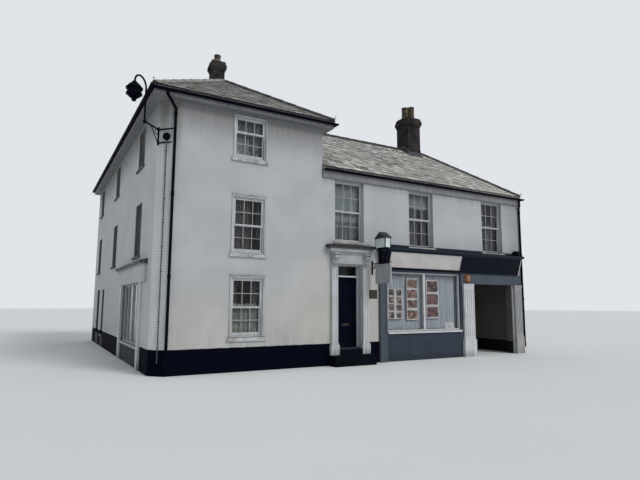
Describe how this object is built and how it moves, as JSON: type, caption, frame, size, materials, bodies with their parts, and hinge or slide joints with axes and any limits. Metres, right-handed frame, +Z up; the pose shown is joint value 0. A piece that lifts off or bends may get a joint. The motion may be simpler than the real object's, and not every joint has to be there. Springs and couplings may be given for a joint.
{
  "type": "corner shop building",
  "caption": "Georgian corner shop building: three-storey hipped main block with a two-storey shop wing, sash windows, shopfronts and a carriage passage.",
  "frame": {"origin": "foot of the front wall face where the main block meets the wing", "axes": "+X along the front street from the main block towards the wing's end, +Y into the building, +Z up"},
  "size_m": [15.0422, 15.01, 10.4499],
  "materials": {
    "white_paint_wall": "white masonry paint on render",
    "rear_brick": "painted render and brick",
    "timber_floor": "sawn boards on joists",
    "slate": "weathered slates",
    "dark_eaves": "dark gutters and pipes",
    "eaves_paint": "grey gloss paint on boards",
    "brick": "bare brickwork",
    "clay_pot": "unglazed clay",
    "joinery_white": "white gloss paint",
    "clear_glass": "clear float glass",
    "sill_stone": "painted stone",
    "blue_grey_paint": "blue-grey satin paint",
    "opal_glass": "opal glass",
    "navy_gloss": "navy gloss paint",
    "step_stone": "worn step stone",
    "sign_cream": "cream painted board",
    "carved_wood": "painted carving",
    "black_iron": "black gloss iron"
  },
  "bodies": {
    "building": {"corner_pier": "white_paint_wall", "main_front_wall": "white_paint_wall", "side_upper_wall": "white_paint_wall", "side_piers": "white_paint_wall", "stallrisers": "white_paint_wall", "yard_wall": "rear_brick", "party_wall": "rear_brick", "wing_front_piers": "white_paint_wall", "wing_front_wall": "white_paint_wall", "lintel_beams": "blue_grey_paint", "wing_rear_piers": "rear_brick", "wing_rear_wall": "rear_brick", "wing_end_wall": "white_paint_wall", "passage_wall": "white_paint_wall", "ground_floors": "timber_floor", "first_floors": "timber_floor", "second_floor": "timber_floor", "main_roof": "slate", "wing_roof": "slate", "eaves_boards": "eaves_paint", "gutters": "dark_eaves", "downpipes": "dark_eaves", "main_chimney": "brick", "wing_chimney": "brick", "chimney_pots": "clay_pot", "main_sash_windows": "joinery_white", "wing_sash_windows": "joinery_white", "window_glass": "clear_glass", "window_sills": "sill_stone", "doorcase_pilasters": "joinery_white", "doorcase_entablature": "joinery_white", "door_frames": "joinery_white", "doorstep": "step_stone", "shop_window_frames": "joinery_white", "shop_glass": "clear_glass", "shop_pilasters": "joinery_white", "shop_fascia": "navy_gloss", "sign_board": "sign_cream", "shop_cornice": "blue_grey_paint", "side_shop_entablature": "joinery_white", "carved_boss": "carved_wood", "lamp_bracket": "black_iron", "street_lantern": "black_iron", "bell_box": "black_iron", "sign_bracket": "black_iron", "hanging_sign": "joinery_white", "door_lantern": "black_iron", "lantern_panes": "opal_glass", "floodlight": "black_iron"},
    "front_door": {"front_door": "navy_gloss"},
    "side_door": {"side_door": "navy_gloss"}
  },
  "joints": [
    {"name": "front_door_hinge", "type": "hinge", "parent": "building", "child": "front_door", "pos_m": [0.563, 0.289, 0.51], "axis": [0, 0, 1], "range_deg": [0, 90]},
    {"name": "side_door_hinge", "type": "hinge", "parent": "building", "child": "side_door", "pos_m": [-4.691, 12.452, 0.51], "axis": [0, 0, 1], "range_deg": [0, 90]}
  ]
}
